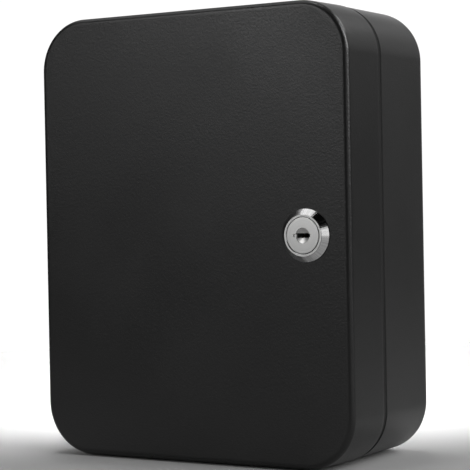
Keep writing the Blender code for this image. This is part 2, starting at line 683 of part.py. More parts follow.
def make_cam_screw(material, pivot):
    start = CAM_END_Y + SPRING_WASHER_THICKNESS + 2 * SEAT_GAP
    end = start + SCREW_HEAD_HEIGHT
    tip = CAM_END_Y - SCREW_LENGTH + FIT_GAP
    profile = [(SCREW_RADIUS, tip), (SCREW_RADIUS, start), (SCREW_HEAD_RADIUS, start),
               (SCREW_HEAD_RADIUS, end - SCREW_HEAD_HEIGHT / 2),
               (SCREW_HEAD_RADIUS - SCREW_HEAD_HEIGHT / 4, end)]
    mesh_data = bmesh.new()
    loft(mesh_data, [round_outline(radius, y, steps=SMALL_ROUND_STEPS) for radius, y in profile])
    screw = finish_object("cam_screw", mesh_data, material, LOCK_AXIS, pivot, LOCK_AXIS)
    slot = bmesh.new()
    add_block(slot, (-SCREW_HEAD_RADIUS - OVERRUN, end - SCREW_SLOT_DEPTH, -SCREW_SLOT_WIDTH / 2),
              (SCREW_HEAD_RADIUS + OVERRUN, end + OVERRUN, SCREW_SLOT_WIDTH / 2))
    cut(screw, "screw_slot_cut", slot)


def make_spring_washer(material, pivot):
    start = CAM_END_Y + SEAT_GAP
    end = start + SPRING_WASHER_THICKNESS
    inner = SCREW_RADIUS + FIT_GAP
    profile = [(inner, start), (SPRING_WASHER_RADIUS, start), (SPRING_WASHER_RADIUS, end), (inner, end)]
    mesh_data = bmesh.new()
    loft(mesh_data, [round_outline(radius, y, steps=SMALL_ROUND_STEPS) for radius, y in profile], closed=True)
    finish_object("cam_spring_washer", mesh_data, material, LOCK_AXIS, pivot, LOCK_AXIS)


def main():
    clear_scene()
    powder_coat = black_powder_coat()
    zinc = zinc_plate()
    chrome = polished_chrome()
    nickel = satin_nickel()
    brass = wafer_brass()
    steel = spring_steel()
    strip_plastic = white_strip_plastic()

    door_pivot = add_pivot("door_pivot", HINGE_AXIS)
    lock_pivot = add_pivot("lock_pivot", LOCK_AXIS, door_pivot, HINGE_AXIS)

    make_body_shell(powder_coat)
    make_body_rim(powder_coat)
    make_door_shell(powder_coat, door_pivot)
    make_hinges(powder_coat, door_pivot)
    make_rails(zinc, strip_plastic, door_pivot)
    make_lock_housing(chrome, door_pivot)
    make_lock_washer(zinc, door_pivot)
    make_lock_nut(zinc, door_pivot)
    make_lock_core(nickel, lock_pivot)
    make_wafers(brass, lock_pivot)
    make_shutter("shutter_upper", steel, 1, lock_pivot)
    make_shutter("shutter_lower", steel, -1, lock_pivot)
    make_cam(zinc, lock_pivot)
    make_cam_screw(zinc, lock_pivot)
    make_spring_washer(steel, lock_pivot)


main()
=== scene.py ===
import math

import bmesh
import bpy
from mathutils import Euler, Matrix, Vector


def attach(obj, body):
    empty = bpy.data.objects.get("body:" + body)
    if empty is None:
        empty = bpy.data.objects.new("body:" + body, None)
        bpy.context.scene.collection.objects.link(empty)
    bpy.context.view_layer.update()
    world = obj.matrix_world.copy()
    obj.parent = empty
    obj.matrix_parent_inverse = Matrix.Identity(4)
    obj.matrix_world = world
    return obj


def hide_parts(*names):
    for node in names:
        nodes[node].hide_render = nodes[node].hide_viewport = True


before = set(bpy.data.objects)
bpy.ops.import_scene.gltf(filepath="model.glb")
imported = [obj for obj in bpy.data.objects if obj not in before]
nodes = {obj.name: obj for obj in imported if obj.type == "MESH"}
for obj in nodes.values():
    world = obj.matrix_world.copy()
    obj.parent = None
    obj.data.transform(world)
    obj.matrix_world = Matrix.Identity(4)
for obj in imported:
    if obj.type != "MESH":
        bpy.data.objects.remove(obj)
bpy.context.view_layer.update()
mm = 0.001
print("frame loaded:", len(nodes), "nodes")


# small tools shared by the pieces

def inMetres(sizes):
    # turns a piece's sizes from millimetres to metres
    return {name: value * mm for name, value in sizes.items()}


slack = inMetres({        # distances under which two places count as one
    "same": 0.001, "spun": 0.002, "cut": 0.004, "bent": 0.005, "row": 0.01, "near": 0.02, "corner": 0.1,
    "loop": 0.15,
})


def deselectAll():
    if bpy.context.object and bpy.context.object.mode != "OBJECT":
        bpy.ops.object.mode_set(mode="OBJECT")
    bpy.ops.object.select_all(action="DESELECT")


def activate(obj):
    deselectAll()
    obj.select_set(True)
    bpy.context.view_layer.objects.active = obj


def startEdit(obj):
    activate(obj)
    bpy.ops.object.mode_set(mode="EDIT")


def pick(obj, kind, test):
    # selects the vertices, edges or faces that pass the test
    bpy.ops.mesh.select_mode(type=kind)
    bpy.ops.mesh.select_all(action="DESELECT")
    work = bmesh.from_edit_mesh(obj.data)
    for item in {"VERT": work.verts, "EDGE": work.edges, "FACE": work.faces}[kind]:
        if test(item):
            item.select_set(True)
    bmesh.update_edit_mesh(obj.data)


def near(a, b, within=slack["near"]):
    return abs(a - b) < within


def isUpright(edge):
    # test for the edges of a box that run from its front to its back
    return not near(edge.verts[0].co.y, edge.verts[1].co.y)


def addBox(name, low, high):
    low, high = Vector(low), Vector(high)
    deselectAll()
    bpy.ops.mesh.primitive_cube_add(size=1, location=(low + high) / 2)
    obj = bpy.context.object
    obj.name = name
    obj.scale = high - low
    bpy.ops.object.transform_apply(location=True, rotation=True, scale=True)
    return obj


def lockBox(name, low, high):
    # box whose corners are counted from the lock's axis at the door's front
    return addBox(name, lockAxis + Vector(low), lockAxis + Vector(high))


def addSheet(name, turn, size, place):
    # flat blank of a piece that is bent from sheet, left in edit mode
    deselectAll()
    bpy.ops.mesh.primitive_plane_add(size=1, rotation=turn)
    blank = bpy.context.object
    blank.name = name
    bpy.ops.object.transform_apply(location=False, rotation=True, scale=False)
    blank.scale, blank.location = size, place
    bpy.ops.object.transform_apply(location=True, rotation=False, scale=True)
    startEdit(blank)
    return blank


def weldAll(distance):
    bpy.ops.mesh.select_all(action="SELECT")
    bpy.ops.mesh.remove_doubles(threshold=distance)
    bpy.ops.mesh.normals_make_consistent(inside=False)


def spinProfile(name, points, centre, axis=(0, 1, 0), steps=96, closed=False):
    # draws points (radius, distance along the axis) by extruding one vertex, then spins them
    along = Vector(axis)
    places = [Vector(centre) + Vector((radius, 0, 0)) + along * distance for radius, distance in points]
    deselectAll()
    bpy.ops.mesh.primitive_plane_add(size=mm)
    obj = bpy.context.object
    obj.name = name
    bpy.ops.object.mode_set(mode="EDIT")
    bpy.ops.mesh.select_mode(type="VERT")
    bpy.ops.mesh.merge(type="CENTER")
    bpy.ops.transform.translate(value=places[0])
    for here, there in zip(places, places[1:]):
        bpy.ops.mesh.extrude_region_move(TRANSFORM_OT_translate={"value": there - here})
    if closed:
        ends = (places[0], places[-1])
        pick(obj, "VERT", lambda v: any((v.co - end).length < slack["same"] for end in ends))
        bpy.ops.mesh.edge_face_add()
    bpy.ops.mesh.select_all(action="SELECT")
    bpy.ops.mesh.spin(steps=steps, angle=2 * math.pi, center=centre, axis=along)
    weldAll(slack["spun"])
    bpy.ops.object.mode_set(mode="OBJECT")
    return obj


def addRod(name, centre, radius, start, end, steps):
    # plain round bar from start to end along Y, to cut a hole with
    return spinProfile(name, [(0, start), (radius, start), (radius, end), (0, end)], centre, steps=steps)


def roundCorner(centre, radius, steps):
    # points of a quarter circle, for a profile that is spun
    angles = [math.radians(90 * step / steps) for step in range(steps + 1)]
    return [(centre[0] + radius * math.cos(a), centre[1] + radius * math.sin(a)) for a in angles]


def roundOff(width, segments, kind="EDGES"):
    # rounds the edges or the corners that are picked
    bpy.ops.mesh.bevel(offset=width, offset_type="OFFSET", segments=segments, profile=0.5, affect=kind)


def addModifier(obj, kind, **settings):
    # adds a modifier and applies it at once
    activate(obj)
    modifier = obj.modifiers.new(kind.title(), kind)
    for name, value in settings.items():
        setattr(modifier, name, value)
    bpy.ops.object.modifier_apply(modifier=modifier.name)


def cutAway(obj, cutter, operation="DIFFERENCE"):
    addModifier(obj, "BOOLEAN", object=cutter, operation=operation, solver="EXACT")
    bpy.data.objects.remove(cutter, do_unlink=True)


def keepInside(obj, other):
    cutAway(obj, other, "INTERSECT")


def giveThickness(obj, thickness, offset=0):
    # offset 0 thickens a sheet to both sides and -1 inwards
    addModifier(obj, "SOLIDIFY", thickness=thickness, offset=offset, use_even_offset=True)


def breakEdges(obj, width, angle=50, segments=2):
    # small round on every edge sharper than the angle
    addModifier(obj, "BEVEL", width=width, segments=segments, limit_method="ANGLE",
                angle_limit=math.radians(angle), miter_outer="MITER_ARC")


def moveTo(obj, place):
    activate(obj)
    obj.location = place
    bpy.ops.object.transform_apply(location=True, rotation=False, scale=False)


def cleanMesh(obj):
    # merges what the cuts left doubled and splits concave faces, so that no face folds over a notch
    startEdit(obj)
    bpy.ops.mesh.select_all(action="SELECT")
    bpy.ops.mesh.remove_doubles(threshold=slack["cut"])
    bpy.ops.mesh.vert_connect_concave()
    bpy.ops.object.mode_set(mode="OBJECT")


def dressPiece(obj, material, body, replaced, smooth=35):
    # finishes a piece: shading, material, the body that it rides on and the node that it stands for
    cleanMesh(obj)
    activate(obj)
    obj.data.materials.clear()
    obj.data.materials.append(material)
    bpy.ops.object.shade_smooth_by_angle(angle=math.radians(smooth))
    addModifier(obj, "WEIGHTED_NORMAL", keep_sharp=True, weight=50)
    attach(obj, body)
    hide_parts(replaced)


def dressPair(upper, upperLevel, lowerLevel, material, body, replaced):
    # puts the piece at the upper level and its copy at the lower one, and finishes both
    lower = upper.copy()
    lower.data = upper.data.copy()
    lower.name = upper.name.replace("Upper", "Lower")
    bpy.context.scene.collection.objects.link(lower)
    moveTo(lower, (0, 0, lowerLevel))
    moveTo(upper, (0, 0, upperLevel))
    dressPiece(upper, material, body, replaced + "_upper")
    dressPiece(lower, material, body, replaced + "_lower")


def paintFaces(obj, material, test):
    # gives the faces that pass the test a finish of their own
    obj.data.materials.append(material)
    startEdit(obj)
    pick(obj, "FACE", test)
    obj.active_material_index = len(obj.data.materials) - 1
    bpy.ops.object.material_slot_assign()
    bpy.ops.object.mode_set(mode="OBJECT")


# materials

def hexColour(code):
    # turns an sRGB hex value to linear
    channels = [int(code[i:i + 2], 16) / 255 for i in (1, 3, 5)]
    return tuple(c / 12.92 if c <= 0.04045 else ((c + 0.055) / 1.055) ** 2.4 for c in channels) + (1.0,)


def newMaterial(name, **sockets):
    material = bpy.data.materials.new(name)
    material.use_nodes = True
    shader = material.node_tree.nodes["Principled BSDF"]
    for socket, value in sockets.items():
        shader.inputs[socket.replace("_", " ")].default_value = value
    return material, shader


def addNode(material, kind, settings=None, inputs=None, links=None):
    # links are (own input, other node, its output)
    node = material.node_tree.nodes.new(kind)
    for name, value in (settings or {}).items():
        setattr(node, name, value)
    for name, value in (inputs or {}).items():
        node.inputs[name].default_value = value
    for own, other, output in links or ():
        material.node_tree.links.new(other.outputs[output], node.inputs[own])
    return node


def wire(material, fromNode, output, toNode, socket):
    material.node_tree.links.new(fromNode.outputs[output], toNode.inputs[socket])


def finishSurface(material, shader, noises, colours, sheen, span=(0, 1), reliefs=(), sheenBy=0):
    # The first noise mixes the colours, and the noise numbered sheenBy spreads the roughness. The reliefs
    # (number of the noise, strength, height in mm) lie one on top of the other.
    tint = addNode(material, "ShaderNodeMix", {"data_type": "RGBA"},
                   {"A": hexColour(colours[0]), "B": hexColour(colours[1])}, [("Factor", noises[0], "Fac")])
    wire(material, tint, "Result", shader, "Base Color")
    spread = addNode(material, "ShaderNodeMapRange",
                     inputs={"From Min": span[0], "From Max": span[1], "To Min": sheen[0],
                             "To Max": sheen[1]},
                     links=[("Value", noises[sheenBy], "Fac")])
    wire(material, spread, "Result", shader, "Roughness")
    under = []
    for number, strength, height in reliefs:
        bump = addNode(material, "ShaderNodeBump", inputs={"Strength": strength, "Distance": height * mm},
                       links=[("Height", noises[number], "Fac")] + under)
        under = [("Normal", bump, "Normal")]
    if reliefs:
        wire(material, bump, "Normal", shader, "Normal")


def makeFinish(name, patterns, colours, sheen, span=(0, 1), reliefs=(), sheenBy=0, **sockets):
    # material whose noise patterns (size in mm, detail, roughness) stay fixed in the piece
    material, shader = newMaterial(name, **sockets)
    place = addNode(material, "ShaderNodeTexCoord")
    noises = [addNode(material, "ShaderNodeTexNoise",
                      inputs={"Scale": 1 / (size * mm), "Detail": detail, "Roughness": rough},
                      links=[("Vector", place, "Object")])
              for size, detail, rough in patterns]
    finishSurface(material, shader, noises, colours, sheen, span, reliefs, sheenBy)
    return material


def makePowderCoat(name, colours, sheen, specular=0.5):
    # Black fine-texture polyester powder coat, sprayed on steel and baked: to the eye an even
    # satin black with a fine grain, a slow orange-peel wave and a slightly uneven sheen.
    # The real grain of 0.3 mm is drawn as coarse as 0.75 mm, so that it shows.
    grain, peel, cloud = (0.75, 3.0, 0.6), (4.0, 2.0, 0.5), (45.0, 2.0, 0.5)
    return makeFinish(name, [grain, peel, cloud], colours, sheen, (0.35, 0.65),
                      [(1, 0.25, 0.03), (0, 0.42, 0.2)], sheenBy=2, Metallic=0.0, IOR=1.5,
                      Specular_IOR_Level=specular)


def makeTurnedMetal(name, colours, sheen, pattern, scale, height):
    # Plated metal worked on a lathe: streaks that run outwards from the lock's axis, or rings round it.
    material, shader = newMaterial(name, Metallic=1.0)
    place = addNode(material, "ShaderNodeTexCoord")
    centred = addNode(material, "ShaderNodeMapping", inputs={"Location": -lockAxis},
                      links=[("Vector", place, "Object")])
    parts = addNode(material, "ShaderNodeSeparateXYZ", links=[("Vector", centred, "Vector")])
    if pattern == "streaks":
        across = addNode(material, "ShaderNodeMath", {"operation": "ARCTAN2"},
                         links=[(0, parts, "X"), (1, parts, "Z")])
    else:
        flat = addNode(material, "ShaderNodeCombineXYZ", links=[("X", parts, "X"), ("Y", parts, "Z")])
        across = addNode(material, "ShaderNodeVectorMath", {"operation": "LENGTH"},
                         links=[(0, flat, "Vector")])
    noise = addNode(material, "ShaderNodeTexNoise", {"noise_dimensions": "1D"},
                    {"Scale": scale, "Detail": 3.0, "Roughness": 0.6}, [("W", across, "Value")])
    finishSurface(material, shader, [noise], colours, sheen, (0.3, 0.7), [(0, 0.4, height)])
    return material


lockAxis = Vector((58.6, -77, 0)) * mm
coatColours = ("#0b0b0b", "#161616")

doorCoat = makePowderCoat("blackPowderCoatDoor", coatColours, (0.33, 0.39))
# painted light: the body gets a copy of the coat painted a shade lighter, so that its side reads brighter
# than the door's
bodyCoatPaintedLighter = makePowderCoat("blackPowderCoatBody", ("#131313", "#212121"), (0.33, 0.39))
# the sheet is stretched on the door's front fold, and the coat lies smoother there
foldCoat = makePowderCoat("blackPowderCoatFold", coatColours, (0.27, 0.31))
# painted shade in the seam: a darker, duller and less glossy copy of the coat on the edges next to the seam
seamShadeCoat = makePowderCoat("blackPowderCoatSeamShade", ("#050505", "#0c0c0c"), (0.7, 0.8), 0.32)
# bright zinc plating on pressed steel: bluish grey metal with soft cloudy patches of sheen
zincPlate = makeFinish("zincPlatedSteelPassivated", [(6.0, 3.0, 0.5), (0.4, 2.0, 0.5)],
                       ("#b4b9be", "#d2d5d8"), (0.26, 0.42), (0.3, 0.7), [(1, 0.3, 0.01)], Metallic=1.0)
# polished chrome plate on the lock's cone: a mirror with fine streaks
chrome = makeTurnedMetal("polishedChromePlate", ("#ababab", "#f7f7f7"), (0.05, 0.12), "streaks", 14.0, 0.08)
# nickel plate over fine turning marks, 0.5 mm apart: a satin, silvery face
satinNickel = makeTurnedMetal("satinNickelTurned", ("#d1d1d0", "#e5e5e4"), (0.36, 0.42), "rings",
                              1 / (0.5 * mm), 0.004)
# nickel plate on the pressed flaps, with broad, faint rings, painted a darker satin grey as painted shade in
# the keyway's recess
flapNickelPaintedShade = makeTurnedMetal("nickelPlatePressedPaintedShade", ("#b8b8b7", "#cececd"), (0.32, 0.4), "rings",
                             1 / (0.9 * mm), 0.004)
# die-cast zinc, painted dark grey as painted shade in the bores and in the gap round the core
castZincGapShade = makeFinish("dieCastZincPaintedGapShade", [(0.4, 3.0, 0.5)], ("#2a2b2d", "#3a3b3d"), (0.5, 0.65),
                      Metallic=0.6)
# stamped yellow brass sheet with a fine rolled grain
brass = makeFinish("stampedBrass", [(0.5, 3.0, 0.5)], ("#c29a52", "#dcb76b"), (0.22, 0.4), Metallic=1.0)
# hardened spring steel, tempered and tumbled: dark grey metal with a soft sheen
springSteel = makeFinish("temperedSpringSteel", [(0.6, 3.0, 0.5)], ("#8f9194", "#aeb0b2"), (0.25, 0.42),
                         Metallic=1.0)
# white PVC label strip, extruded: slightly warm white with a fine matt texture
stripPlastic = makeFinish("whitePvcStripExtruded", [(0.5, 2.0, 0.5)], ("#dfded9", "#ebeae6"), (0.38, 0.5),
                          Metallic=0.0, IOR=1.53)
# black screen-print ink: dense, slightly glossy black with pinholes of lighter grey
printInk = makeFinish("blackScreenPrintInk", [(0.3, 2.0, 0.5)], ("#141414", "#242424"), (0.4, 0.55),
                      Metallic=0.0, IOR=1.5)
print("materials ready")


# door and body trays

trays = inMetres({
    "width": 160, "height": 200, "cornerRadius": 23.3, "sheet": 1.0,
    "doorFront": -77, "doorBack": -46.5, "doorDraft": 0.5, "doorEdge": 2.5, "curlStart": 4.0,
    "curlDepth": 0.3, "bodyInset": 0.3, "bodyFront": -46, "shoulder": 0.8, "lipInset": 1.6, "lipStep": 0.5,
    "lipEnd": -49.9,
    "rimFront": -51, "rimWidth": 8, "rimEdge": 0.8, "backEdge": 6.5, "frontInset": 0.4, "backInset": 0.6,
    "doorBreak": 0.18, "bodyBreak": 0.15, "over": 0.01,
})
roundSteps = {"cornerRadius": 24, "doorEdge": 8, "backEdge": 10, "shoulder": 4, "lipStep": 3, "rimEdge": 4}
curlSteps = 4
shadedCurlShare = 0.51        # of the curl, the part next to the seam that carries the painted seam shade


def insetOf(point):
    # how far a point lies inside the door's rounded outline
    halfX = trays["width"] / 2 - trays["cornerRadius"]
    halfZ = trays["height"] / 2 - trays["cornerRadius"]
    x, z = abs(point.x) - halfX, abs(point.z) - halfZ
    outside = math.hypot(max(x, 0), max(z, 0)) + min(max(x, z), 0)
    return trays["cornerRadius"] - outside


def onLoop(y, inset):
    # test for the edges of the loop at this depth and inset
    return lambda e: all(near(v.co.y, y) and near(insetOf(v.co), inset, slack["loop"]) for v in e.verts)


def atDepth(y):
    # test for the edges that lie at this depth
    return lambda e: all(near(v.co.y, y) for v in e.verts)


def looking(way):
    # test for the faces that look forwards (-1) or backwards (1)
    return lambda f: f.normal.y * way > 0.9


def largeFlat(way):
    # test for the one large flat face that looks forwards (-1) or backwards (1)
    return lambda f: f.normal.y * way > 0.999 and len(f.verts) > 8


def roundTray(edge):
    roundOff(trays[edge], roundSteps[edge])


def roundedTray(name, inset, front, back):
    # block with the cabinet's rounded outline, left in edit mode
    halfX, halfZ = trays["width"] / 2 - inset, trays["height"] / 2 - inset
    obj = addBox(name, (-halfX, front, -halfZ), (halfX, back, halfZ))
    startEdit(obj)
    pick(obj, "EDGE", isUpright)
    roundOff(trays["cornerRadius"] - inset, roundSteps["cornerRadius"])
    return obj


def drawIn(amount, level):
    # narrows what is picked at this depth by so much in all, evenly round the cabinet's middle
    bpy.ops.transform.resize(value=(1 - amount / trays["width"], 1, 1 - amount / trays["height"]),
                             center_override=(0, level, 0))


hinges = inMetres({
    "axisX": -80.25, "axisY": -46.25, "level": 50, "length": 40, "leaf": 0.9, "leafWidth": 12,
    "knuckle": 2.74, "gap": 0.3, "pinRadius": 1.55, "pinHead": 2.15, "headHeight": 0.8, "headEdge": 0.4,
    "seat": 0.1, "leafCorner": 2.0, "leafBreak": 0.12, "notchFront": -60, "rimNotchBack": -40,
})
knuckleTurn = 309           # degrees that a leaf is rolled round its pin


def cutHingeNotches(obj, front, back):
    reach = hinges["knuckle"] + hinges["gap"]
    half = hinges["length"] / 2 + hinges["headHeight"] + 2 * hinges["gap"]
    x = hinges["axisX"]
    for z in (hinges["level"], -hinges["level"]):
        cutAway(obj, addBox("notchCutter", (x - reach, front, z - half), (x + reach, back, z + half)))


def makeDoorShell():
    front, back, curl = trays["doorFront"], trays["doorBack"], trays["curlStart"]
    door = roundedTray("doorShell", 0, front, back)
    pick(door, "VERT", lambda v: near(v.co.y, front))
    drawIn(2 * trays["doorDraft"], front)
    pick(door, "EDGE", atDepth(front))
    roundTray("doorEdge")
    pick(door, "FACE", looking(1))
    bpy.ops.mesh.delete(type="FACE")
    # the rear edge curls in a little towards the seam
    levels = [back - curl * (1 - step / curlSteps) for step in range(curlSteps + 1)]
    for level in levels[:-1]:
        bpy.ops.mesh.select_all(action="SELECT")
        bpy.ops.mesh.bisect(plane_co=(0, level, 0), plane_no=(0, 1, 0))
    for step, level in enumerate(levels[1:], 1):
        pick(door, "VERT", lambda v: near(v.co.y, level))
        drawIn(2 * trays["curlDepth"] * (step / curlSteps) ** 2, level)
    pick(door, "FACE", largeFlat(-1))
    bpy.ops.mesh.inset(thickness=trays["frontInset"])       # keeps the shading of the large face flat
    giveThickness(door, trays["sheet"], -1)

    hole = inMetres({"radius": 9.7, "flat": 8.3, "front": -3, "back": 4, "depth": 10, "wide": 20})
    cutter = addRod("lockHoleCutter", lockAxis, hole["radius"], hole["front"], hole["back"], 64)
    corner = Vector((hole["flat"], hole["depth"], hole["wide"]))
    keepInside(cutter, lockBox("flatsCutter", -corner, corner))
    cutAway(door, cutter)
    cutHingeNotches(door, hinges["axisY"] - hinges["knuckle"] - hinges["gap"], 0)
    breakEdges(door, trays["doorBreak"])
    dressPiece(door, doorCoat, "door", "door_shell")
    # the smoother coat on the front fold draws a finer bright line
    foldEnd = front + trays["doorEdge"]
    paintFaces(door, foldCoat, lambda f: f.normal.y > -0.99 and f.calc_center_median().y < foldEnd)
    # painted shade: the darker, duller coat on the curled edge makes the seam read as a soft dark line
    seamShadeStart = back - curl * shadedCurlShare
    paintFaces(door, seamShadeCoat, lambda f: all(v.co.y > seamShadeStart for v in f.verts))


def makeBodyShell():
    inset, front = trays["bodyInset"], trays["bodyFront"]
    body = roundedTray("bodyShell", inset, front, 0)
    pick(body, "EDGE", atDepth(0))
    roundTray("backEdge")
    pick(body, "FACE", largeFlat(1))
    bpy.ops.mesh.inset(thickness=trays["backInset"])        # keeps the shading of the back flat
    pick(body, "FACE", looking(-1))
    bpy.ops.mesh.inset(thickness=trays["lipInset"] - inset)
    bpy.ops.mesh.extrude_region_move(TRANSFORM_OT_translate={"value": (0, trays["lipEnd"] - front, 0)})
    bpy.ops.mesh.delete(type="FACE")
    giveThickness(body, trays["sheet"], -1)
    startEdit(body)
    pick(body, "EDGE", onLoop(front, inset))
    roundTray("shoulder")
    pick(body, "EDGE", onLoop(front, trays["lipInset"]))
    roundTray("lipStep")

    hole = inMetres({"radius": 3.25, "x": 45, "z": 85, "over": 4})
    over = hole["over"]
    for x in (-hole["x"], hole["x"]):
        for z in (-hole["z"], hole["z"]):
            cutAway(body, addRod("wallHoleCutter", (x, 0, z), hole["radius"], -over, over, 48))
    cutHingeNotches(body, hinges["notchFront"], hinges["axisY"] + hinges["knuckle"] + hinges["gap"])
    breakEdges(body, trays["bodyBreak"])
    # the body's coat is the copy painted a shade lighter, as painted light
    dressPiece(body, bodyCoatPaintedLighter, "cabinet", "body_shell")
    # painted shade: the darker, duller coat on the fold at the seam makes the seam read as a dark line
    seamShadeEnd = front + trays["shoulder"] + trays["over"]
    paintFaces(body, seamShadeCoat, lambda f: all(v.co.y < seamShadeEnd for v in f.verts))


def makeBodyRim():
    # flat ring with the outline of the body's lip
    front = trays["rimFront"]
    rim = roundedTray("bodyRim", trays["lipInset"], front, front + trays["sheet"])
    for way in (-1, 1):
        pick(rim, "FACE", looking(way))
        bpy.ops.mesh.inset(thickness=trays["rimWidth"])
        bpy.ops.mesh.delete(type="FACE")
    pick(rim, "EDGE", lambda e: e.is_boundary)
    bpy.ops.mesh.bridge_edge_loops()
    pick(rim, "EDGE", onLoop(front, trays["lipInset"]))
    roundTray("rimEdge")
    cutHingeNotches(rim, hinges["notchFront"], hinges["rimNotchBack"])
    breakEdges(rim, trays["bodyBreak"])
    dressPiece(rim, bodyCoatPaintedLighter, "cabinet", "body_rim")


makeDoorShell()
makeBodyShell()
makeBodyRim()
print("door, body and rim ready")


# hinges: leaves rolled round their pins

def makeLeaf(name, side, columns, body, replaced):
    # side is 1 for the leaf in the body and -1 for the one in the door; columns are the knuckles
    size = hinges
    axisX, axisY = size["axisX"], size["axisY"]
    reach = size["knuckle"] + size["gap"]
    third = size["length"] / 3
    shift = size["gap"] / 2 if columns == "outer" else -size["gap"] / 2
    half = size["length"] / 2
    cuts = (-third / 2 - shift, third / 2 + shift)
    flatX = axisX + (size["knuckle"] - size["leaf"] / 2)
    leaf = addSheet(name, (0, math.pi / 2, 0), (1, size["leafWidth"] - reach, size["length"]),
                    (flatX, axisY + side * (size["leafWidth"] + reach) / 2, 0))
    for z in cuts:
        bpy.ops.mesh.select_all(action="SELECT")
        bpy.ops.mesh.bisect(plane_co=(flatX, axisY, z), plane_no=(0, 0, 1))
    farEdge = size["leafWidth"] - slack["corner"]
    pick(leaf, "VERT", lambda v: near(abs(v.co.z), half) and abs(v.co.y - axisY) > farEdge)
    roundOff(size["leafCorner"], 6, "VERTICES")

    def atKnuckle(edge):
        z = (edge.verts[0].co.z + edge.verts[1].co.z) / 2
        onFold = all(near(v.co.y, axisY + side * reach) for v in edge.verts)
        inMiddle = cuts[0] < z < cuts[1]
        return onFold and (inMiddle != (columns == "outer"))

    pick(leaf, "EDGE", atKnuckle)
    bpy.ops.mesh.extrude_region_move(TRANSFORM_OT_translate={"value": (0, -side * reach, 0)})
    bpy.ops.mesh.spin(steps=28, angle=math.radians(side * knuckleTurn), center=(axisX, axisY, 0),
                      axis=(0, 0, 1))
    weldAll(slack["bent"])
    giveThickness(leaf, size["leaf"])
    breakEdges(leaf, size["leafBreak"])
    dressPair(leaf, size["level"], -size["level"], bodyCoatPaintedLighter, body, replaced)


def makeHingePins():
    size = hinges
    end = size["length"] / 2 + size["seat"]
    top = end + size["headHeight"]
    head, edge = size["pinHead"], size["headEdge"]
    dome = roundCorner((head - edge, top - edge), edge, 5)
    half = [(size["pinRadius"], end), (head, end)] + dome + [(0, top)]
    points = [(r, -z) for r, z in reversed(half)] + half
    pin = spinProfile("hingePinUpper", points, (size["axisX"], size["axisY"], 0), axis=(0, 0, 1), steps=40)
    dressPair(pin, size["level"], -size["level"], bodyCoatPaintedLighter, "cabinet", "hinge_pin")


makeLeaf("hingeBodyLeafUpper", 1, "outer", "cabinet", "hinge_body_leaf")
makeLeaf("hingeDoorLeafUpper", -1, "middle", "door", "hinge_door_leaf")
makeHingePins()
print("hinges ready")


# hook rails and their number strips

rails = inMetres({
    "length": 110, "pitch": 22, "height": 16, "thickness": 1.0, "hookWidth": 5, "bend": 2.0, "reach": 10,
    "tip": 6, "upper": 62, "spacing": 75, "bodyY": -1.1, "doorX": -17, "doorY": -75.9, "tipCorner": 1.8,
    "corner": 2.0, "edgeBreak": 0.15,
})
hookCount = 5
lowerLevel = rails["upper"] - rails["spacing"]


def makeHookRail(name, placeX, placeY, facing, body, replaced):
    # one pitch of the strip with its hook drawn out of the lower edge, then five in a row
    size = rails
    mid, bend = size["thickness"] / 2, size["bend"]
    foldZ = bend - mid
    sheetY = placeY + facing * mid
    firstX = placeX - (hookCount - 1) / 2 * size["pitch"]
    rail = addSheet(name, (math.pi / 2, 0, 0), (size["pitch"], 1, size["height"] - foldZ),
                    (firstX, sheetY, (size["height"] + foldZ) / 2))
    for side in (-1, 1):
        bpy.ops.mesh.select_all(action="SELECT")
        bpy.ops.mesh.bisect(plane_co=(firstX + side * size["hookWidth"] / 2, sheetY, 0), plane_no=(1, 0, 0))
    pick(rail, "EDGE", lambda e: all(near(v.co.z, foldZ) for v in e.verts)
         and abs((e.verts[0].co.x + e.verts[1].co.x) / 2 - firstX) < mid)
    forward = size["thickness"] + size["reach"] - 2 * bend
    for foldY, length in ((bend, (0, facing * forward, 0)), (bend + forward, (0, 0, size["tip"] - foldZ))):
        bpy.ops.mesh.spin(steps=8, angle=math.radians(facing * -90),
                          center=(firstX, sheetY + facing * foldY, foldZ), axis=(1, 0, 0))
        bpy.ops.mesh.extrude_region_move(TRANSFORM_OT_translate={"value": length})
    tipY = sheetY + facing * (2 * bend + forward)
    pick(rail, "VERT", lambda v: near(v.co.z, size["tip"]) and near(v.co.y, tipY))
    roundOff(size["tipCorner"], 6, "VERTICES")
    weldAll(slack["bent"])
    addModifier(rail, "ARRAY", count=hookCount, use_relative_offset=False, use_constant_offset=True,
                constant_offset_displace=(size["pitch"], 0, 0), use_merge_vertices=True,
                merge_threshold=slack["row"])
    startEdit(rail)
    pick(rail, "VERT", lambda v: near(abs(v.co.x - placeX), size["length"] / 2) and near(v.co.y, sheetY))
    roundOff(size["corner"], 6, "VERTICES")
    giveThickness(rail, size["thickness"])
    breakEdges(rail, size["edgeBreak"])
    dressPair(rail, size["upper"], lowerLevel, zincPlate, body, replaced)


strips = inMetres({
    "margin": 1.5, "height": 9, "thickness": 0.5, "seat": 0.1, "digit": 5.6, "ink": 0.05, "line": 0.35,
    "corner": 1.0, "edgeBreak": 0.08,
})
lineShares = (0.8, 0.2)     # of the strip's height, where a dividing line ends, counted down from the top


def addInk(text, centre, facing):
    # a number as a thin layer of ink on the strip
    deselectAll()
    bpy.ops.object.text_add()
    ink = bpy.context.object
    ink.data.body = text
    ink.data.align_x, ink.data.align_y = "CENTER", "CENTER"
    ink.data.size = strips["digit"]
    ink.data.extrude = strips["ink"]
    ink.data.resolution_u = 4
    ink.rotation_euler = (math.pi / 2, 0, 0 if facing < 0 else math.pi)
    ink.location = centre
    bpy.ops.object.convert(target="MESH")
    bpy.ops.object.transform_apply(location=True, rotation=True, scale=True)
    return bpy.context.object


